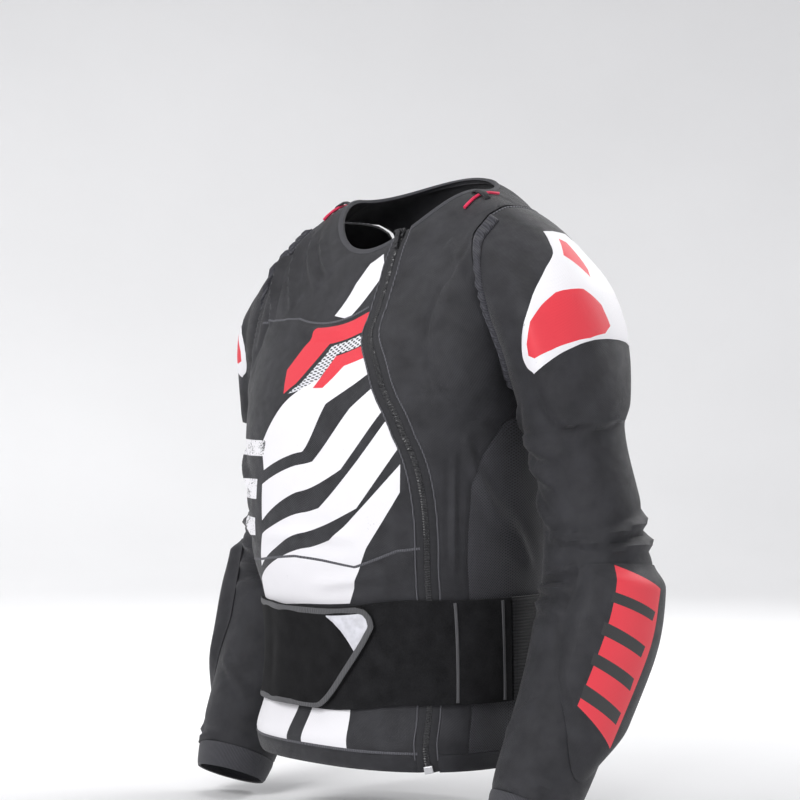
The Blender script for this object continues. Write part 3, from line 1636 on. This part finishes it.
BADGE_ROWS = (
    (0.20, 5.0, -16.0), (0.27, 8.0, -24.0), (0.34, 14.0, -24.0), (0.42, 36.0, -30.0),
    (0.50, 64.0, -33.0), (0.58, 76.0, -34.0), (0.66, 76.0, -34.0), (0.72, 70.0, -30.0),
)
BADGE_PRINT: tuple[tuple[tuple[Place, ...], int], ...] = (
    ((
        (66, 0.57), (69, 0.62), (64, 0.66), (48, 0.685), (30, 0.70), (14, 0.71), (0, 0.70), (-7, 0.67),
        (-3, 0.59), (7.5, 0.52), (26.5, 0.49), (55, 0.51),
    ), 1),
    (((-1.5, 0.25), (-6.0, 0.27), (-5.0, 0.43), (-3.0, 0.47), (6.5, 0.35)), 1),
)
ELBOW_PRINT: tuple[tuple[tuple[Place, ...], int], ...] = (
    (((31.0, 4.14), (-16.0, 4.66), (-14.0, 5.01), (-11.0, 8.18), (38.0, 7.59)), 1),
    (((34.0, 4.92), (-10.0, 5.23), (-7.5, 5.48), (35.5, 5.25)), 2),
    (((37.5, 5.83), (-5.5, 6.06), (-4.5, 6.27), (38.0, 6.11)), 2),
    (((39.0, 6.46), (-5.5, 6.63), (-6.5, 6.85), (39.0, 6.67)), 2),
    (((38.5, 7.06), (-6.0, 7.33), (-5.5, 7.64), (37.5, 7.39)), 2),
)


@dataclass
class WaistBelt:
    """The elastic round the back, the loop-faced left end and the flap with its corner tab."""

    torso: Torso
    top_z: float = -0.417
    height: float = 0.106
    dip: float = 0.011
    lift: float = 0.0014
    wall: float = 0.0030
    flap_wall: float = 0.0034
    flap_turn: float = 26.5
    grip_gap: float = 0.0014
    climb_start: float = -27.0
    climb_span: float = 14.0
    dip_left: float = 45.0
    dip_start: float = 95.0
    dip_right: float = 35.0
    seam_turns: Place = (64.0, 86.5)
    flap_end: tuple[Place, ...] = (
        (0.00, 0.75), (0.06, 0.90), (0.13, 0.98), (0.21, 1.00), (0.35, 0.85), (0.65, 0.49), (0.88, 0.25),
        (0.96, 0.15), (1.00, 0.06),
    )
    tab: tuple[tuple[float, float, float], ...] = (
        (0.07, 0.20, 0.81), (0.14, 0.33, 0.90), (0.22, 0.44, 0.91), (0.32, 0.54, 0.80), (0.43, 0.64, 0.68),
    )

    def dipped(self, turn: Array, height: Array) -> Array:
        """Levels at turns and heights down the belt.

        Args:
            turn: Degrees round the form.
            height: Shares of the belt's height, from its top.

        Returns:
            The levels.
        """
        swing = (turn + 180) % 360 - 180
        share = np.where(swing > 0, 1 - swing / self.dip_left, (swing + self.dip_start) / self.dip_right)
        z = self.top_z - self.dip * smooth_step(share)
        form = self.torso.form
        return form.level_at(turn, z) * (1 - height) + form.level_at(turn, z - self.height) * height

    def strap(self, name: str, node: str, rows: Array, columns: int, look: Look, rise: Callable[[Array], Array],
              wall: float) -> None:
        """One piece from rows of height, start and end.

        Args:
            name: The piece's name.
            node: The node that it replaces.
            rows: Height, start turn and end turn of each row.
            columns: Faces along its length.
            look: Its finish.
            rise: How far its outer face is off the body at turns.
            wall: Its thickness.
        """
        heights = np.linspace(rows[0, 0], rows[-1, 0], 34)
        rows = np.column_stack([np.interp(heights, rows[:, 0], column) for column in rows.T])
        shares = np.linspace(0, 1, columns + 1)[None, :]
        turn = rows[:, 1:2] * (1 - shares) + rows[:, 2:3] * shares
        level = self.dipped(turn.ravel(), np.repeat(rows[:, 0], columns + 1)).reshape(turn.shape)

        def relief(turn: Array, level: Array) -> Array:
            """The strap's rise with a faint unevenness."""
            return rise(turn) + 0.0004 * np.sin(turn * 0.31 + level * 2.1)

        piece = self.torso.sewing.lay(name, Pattern(self.torso.sewing.chart, turn, level), [look], 0.0, relief,
                                      (0.0010, 0.0022), wall=wall)
        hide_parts(node)
        declare(self.height)

    def over_end(self, turn: Array) -> Array:
        """From 0 to 1 where the flap climbs onto the left end."""
        return smooth_step((turn - self.climb_start) / self.climb_span)

    def flap_rise(self, turn: Array) -> Array:
        """How far the flap's outer face is off the body."""
        return self.lift + self.flap_wall + (self.wall + self.grip_gap) * self.over_end(turn)

    def flap_drop(self, turn: Array, _level: Array) -> Array:
        """How much lower the flap's edging lies before the flap climbs."""
        return -(self.wall + self.grip_gap) * (1 - self.over_end(turn))

    def build(self) -> None:
        """Makes the belt."""
        under = self.lift + self.wall
        over = under + self.grip_gap + self.flap_wall
        heights = np.array((0.0, 1.0))
        self.strap("belt_back_elastic", "belt_elastic", np.array([(h, 90.2, 269.8) for h in heights]), 130,
                   Finishes.ELASTIC.look, lambda turn: turn * 0 + under, self.wall)
        self.strap("belt_loop_end", "belt_left_end", np.array([(h, -6.0, 89.8) for h in heights]), 90,
                   Finishes.LOOP.look, lambda turn: turn * 0 + under, self.wall)
        rows = np.array([(h, -89.8, reach * self.flap_turn) for h, reach in self.flap_end])
        self.strap("belt_flap_velour", "belt_flap", rows, 110, Finishes.VELOUR.look, self.flap_rise,
                   self.flap_wall)
        rows = np.array([(h, a * self.flap_turn, b * self.flap_turn) for h, a, b in self.tab])
        self.strap("belt_tab_rubber", "belt_corner_tab", rows, 30, Finishes.TAB.look,
                   lambda turn: turn * 0 + over + 0.0010, 0.0012)
        self.edging(over)

    def edging(self, over: float) -> None:
        """Sews the bound edge round the flap's end and the seams of the belt.

        Args:
            over: How far the flap's outer face is off the body over the left end.
        """
        ends = np.array(self.flap_end)
        top = [(turn, 0.03) for turn in np.linspace(-60, ends[0, 1] * self.flap_turn - 1, 20)]
        end = [(reach * self.flap_turn - 1.2, min(max(h, 0.03), 0.97)) for h, reach in ends[1:-1]]
        foot = [(turn, 0.97) for turn in np.linspace(1, -60, 16)]
        seam_lift = self.lift + self.wall + 0.0011
        left, side = ([(turn, height) for height in np.linspace(0.02, 0.98, 12)] for turn in self.seam_turns)
        lines = (("belt_flap_edging", top + end + foot, 0.0062, over + 0.0004, self.flap_drop),
                 ("belt_left_seam", left, 0.0030, seam_lift, None),
                 ("belt_side_seam", side, 0.0030, seam_lift, None))
        for name, line, width, lift, drop in lines:
            turn, height = (np.array(part) for part in zip(*line))
            path = np.column_stack((turn, self.dipped(turn, height)))
            piece = ribbon(name, self.torso.sewing, path, width, [Finishes.EDGING.look], lift, 0.0010,
                           relief=drop)
            declare(width)


@dataclass
class Trims:
    """The zip, the shoulder loops and the seam threads."""

    torso: Torso
    arms: tuple[Arm, ...]
    nodes: dict[str, Piece]
    tooth_pitch: float = 0.0026
    tooth_height: float = 0.0005
    arch_height: float = 0.0036
    arch_middle: float = 0.92
    arch_half: float = 0.42
    arch_steepness: float = 2.2

    def strip(self, name: str, path: Array, width: float, look: Look, lift: float, wall: float,
              node: str | None = None, relief: Callable[[Array, Array], Array] | None = None, side: int = 1,
              sewing: Sewing | None = None, step: float = 0.003) -> None:
        """Makes a narrow strip.

        Args:
            name: The piece's name.
            path: Turns and levels of its middle line.
            width: Its width.
            look: Its finish.
            lift: How far its outer face is off the surface.
            wall: Its thickness.
            node: The node that it replaces, if any.
            relief: Raises turns and levels further.
            side: -1 mirrors it to the right.
            sewing: The surface, where it isn't the body.
            step: The length of its faces.
        """
        piece = ribbon(name, sewing or self.torso.sewing, path, width, [look], lift, wall, side, relief, step=step)
        if node:
            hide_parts(node)
        declare(width)

    def teeth(self, _turn: Array, level: Array) -> Array:
        """The teeth's tops and the gaps between them.

        Args:
            _turn: Not used here.
            level: Levels down the body.

        Returns:
            A rise for each place, in metres.
        """
        chart = self.torso.sewing.chart
        length = np.interp(level, chart.levels, chart.lengths)
        return self.tooth_height * np.clip(2 * np.sin(length * 2 * math.pi / self.tooth_pitch), -1, 1)

    def arch(self, _turn: Array, level: Array) -> Array:
        """How far the shoulder loop stands over the piping."""
        off = np.abs((level - self.arch_middle) / self.arch_half)
        return self.arch_height * smooth_step(self.arch_steepness * (1 - off))

    def build(self) -> None:
        """Makes the trims and gives the metal and moulded nodes their finishes."""
        form = self.torso.form
        levels = np.linspace(0.08, 14.98, 260)
        for word, side in (("left", 1), ("right", -1)):
            path = np.column_stack((form.beside_zip(levels, side * 0.0062), levels))
            self.strip(f"zip_{word}_tape", path, 0.0096, Finishes.TAPE.look, -0.0002, 0.0012,
                       f"zip_tape_{word}")
            path = np.column_stack((form.beside_zip(levels[:250], side * 0.0116), levels[:250]))
            self.strip(f"zip_{word}_stitching", path, 0.0016, Finishes.SEAM_GREY.look, 0.0005, 0.0010)
        row_levels = levels[:-4]
        path = np.column_stack((form.zip_turn(row_levels), row_levels))
        self.strip("zip_teeth_row", path, 0.0056, Finishes.TEETH.look, 0.0008, 0.0016, "zip_teeth",
                   self.teeth, step=self.tooth_pitch / 4)
        seams = {
            "yoke_seam": ((-49, 4.48), (-22, 3.27), (-3, 3.0), (14, 2.7)),
            "waist_seam": (
                (-70, 10.2), (-25, 10.08), (-3, 9.95), (6, 10.0), (19, 10.1), (39, 9.76), (50, 9.71),
            ),
            "hem_seam": ((-70, 14.18), (0, 14.18), (48, 14.18)),
        }
        for name, line in seams.items():
            self.strip(name, np.array(line, float), 0.0026, Finishes.SEAM_GREY.look, 0.0005, 0.0010,
                       relief=self.torso.relief)
        for arm in self.arms:
            turns = np.linspace(-178, 178, 120)
            path = np.column_stack((turns, np.full(120, 0.012)))
            self.strip(f"{arm.word}_armhole_seam", path, 0.0030, Finishes.SEAM_GREY.look, 0.0006, 0.0014,
                       side=arm.side, sewing=arm.sewing)
            level = np.linspace(0.50, 1.34, 18)
            path = np.column_stack((np.full(18, 81.0), level))
            self.strip(f"{arm.word}_shoulder_loop", path, 0.0070, Finishes.TAPE.look, 0.0018, 0.0014,
                       f"brace_loop_{arm.word}", self.arch, arm.side)
        finishes = {
            "zip_slider": Finishes.PULL, "zip_pull": Finishes.PULL, "zip_bottom_box": Finishes.STEEL,
            "shoulder_piping_left": Finishes.PIPING, "shoulder_piping_right": Finishes.PIPING,
        }
        for node, finish in finishes.items():
            for place in self.nodes[node].material_slots:
                place.material = finish.look


@dataclass
class Studio:
    """The camera, the soft lights and the pale floor and backdrop."""

    azimuth: float = 47.0
    distance: float = 2.5
    across: float = -0.029
    height: float = -0.216
    lens: float = 104.17
    floor_z: float = -0.660
    bowl_start: float = 2.9
    bowl_rise: float = 0.34
    wall_height: float = 5.0
    sky: tuple[float, float, float] = (0.70, 0.70, 0.71)
    sky_strength: float = 0.50

    def build(self) -> None:
        """Sets up the studio."""
        scene = bpy.context.scene
        scene.view_settings.view_transform = "Standard"
        angle = math.radians(self.azimuth)
        target = Vector((self.across * math.cos(angle), self.across * math.sin(angle), self.height))
        outward = Vector((math.sin(angle), -math.cos(angle), 0))
        camera = bpy.data.objects.new("camera", bpy.data.cameras.new("camera"))
        camera.data.lens = self.lens
        camera.location = target + outward * self.distance
        camera.rotation_euler = (math.pi / 2, 0, angle)
        scene.collection.objects.link(camera)
        scene.camera = camera
        right = Vector((math.cos(angle), math.sin(angle), 0))
        for name, place, size, power in (
            ("key", target + outward * 1.9 - right * 1.5 + Vector((0, 0, 1.3)), 1.3, 62.0),
            ("fill", target + outward * 1.6 + right * 2.0 + Vector((0, 0, 0.3)), 1.6, 14.0),
            ("rim", target - outward * 1.2 + right * 1.6 + Vector((0, 0, 1.2)), 1.0, 26.0),
            ("top", target + Vector((0, 0, 2.2)), 1.5, 18.0),
            ("backdrop", target - outward * 0.8 - right * 0.8 + Vector((0, 0, 2.0)), 2.0, 75.0),
        ):
            lamp = bpy.data.lights.new(name, "AREA")
            lamp.size, lamp.energy = size, power
            light = bpy.data.objects.new(name, lamp)
            light.location = place
            aim = target - outward * 5 - right + Vector((0, 0, 0.6)) if name == "backdrop" else target
            light.rotation_euler = (aim - place).to_track_quat("-Z", "Y").to_euler()
            scene.collection.objects.link(light)
        world = bpy.data.worlds.new("studio")
        world.use_nodes = True
        world.node_tree.nodes["Background"].inputs[0].default_value = (*self.sky, 1)
        world.node_tree.nodes["Background"].inputs[1].default_value = self.sky_strength
        scene.world = world
        self.cyclorama()

    def cyclorama(self) -> None:
        """Makes the pale floor, which rises into a backdrop all round."""
        mesh = bmesh.new()
        bmesh.ops.create_grid(mesh, x_segments=90, y_segments=90, size=9.0)
        for vert in mesh.verts:
            reach = max(vert.co.xy.length - self.bowl_start, 0.0)
            vert.co.z = min(self.bowl_rise * reach**2, self.wall_height)
        data = bpy.data.meshes.new("floor")
        mesh.to_mesh(data)
        mesh.free()
        data.shade_smooth()
        paint = Moulded("studio_floor", (0.82, 0.82, 0.83), 0.95, grain=2.0, depth=0.0, patch=1.2, contrast=0.03)
        data.materials.append(paint.make())
        floor = bpy.data.objects.new("floor", data)
        floor.location = (0, 0, self.floor_z)
        bpy.context.scene.collection.objects.link(floor)


def main() -> None:
    """Builds the jacket on the frame."""
    logging.basicConfig(level=logging.INFO, format="%(message)s")
    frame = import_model()
    body = BodyForm()
    torso = Torso(body)
    torso.build()
    arms = tuple(Arm(SleeveForm(body), side) for side in (1, -1))
    for arm in arms:
        arm.build()
    WaistBelt(torso).build()
    Trims(torso, arms, frame["nodes"]).build()
    Studio().build()


if __name__ == "__main__":
    main()
